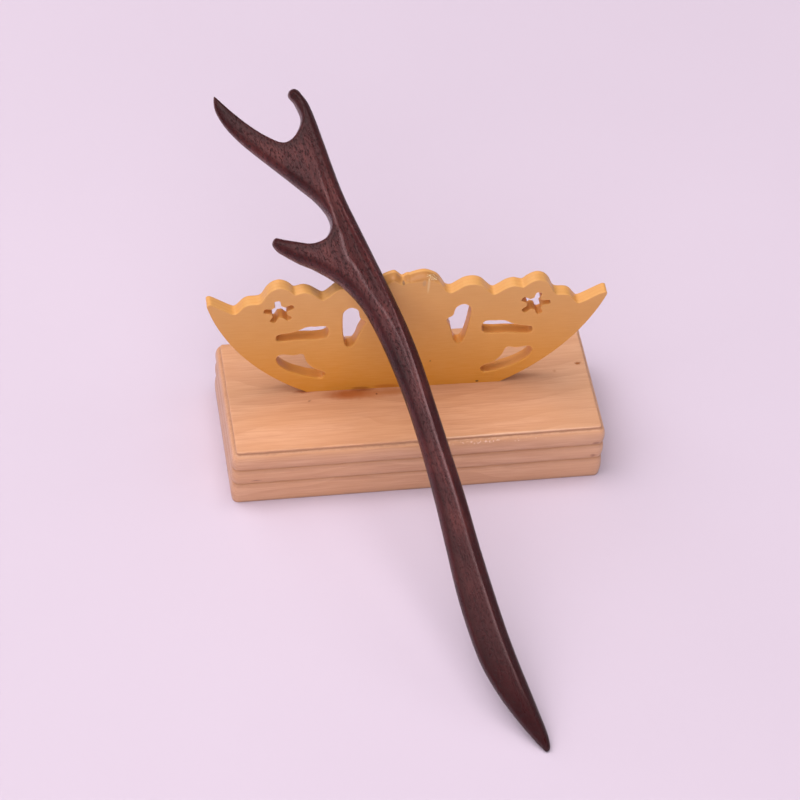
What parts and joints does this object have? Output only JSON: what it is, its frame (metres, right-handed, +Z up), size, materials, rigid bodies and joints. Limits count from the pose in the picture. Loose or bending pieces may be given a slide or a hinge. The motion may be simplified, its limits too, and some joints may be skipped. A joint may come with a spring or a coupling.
{
  "type": "forked hair stick on a display stand",
  "caption": "Slender forked hair stick of polished dark wood, its tip on the table and its neck on a pierced painted plate that stands on a moulded wooden block.",
  "frame": {"origin": "centre of the block's underside, on the table", "axes": "+X to the right along the block, +Y away from the viewer, from the stick's tip towards its forks, +Z up"},
  "size_m": [0.1055, 0.158, 0.0858],
  "materials": {
    "dark_wood": "dark reddish-brown hardwood, hand polished to a satin sheen, fine straight grain with dark pores",
    "mustard_paint": "thin wooden board in smooth satin mustard-yellow paint, worn on the middle of its top edge",
    "pale_wood": "pale straight-grained wood under clear satin varnish"
  },
  "bodies": {
    "root": {"hair_stick": "dark_wood", "stand_plate": "mustard_paint", "stand_base": "pale_wood"}
  },
  "joints": []
}
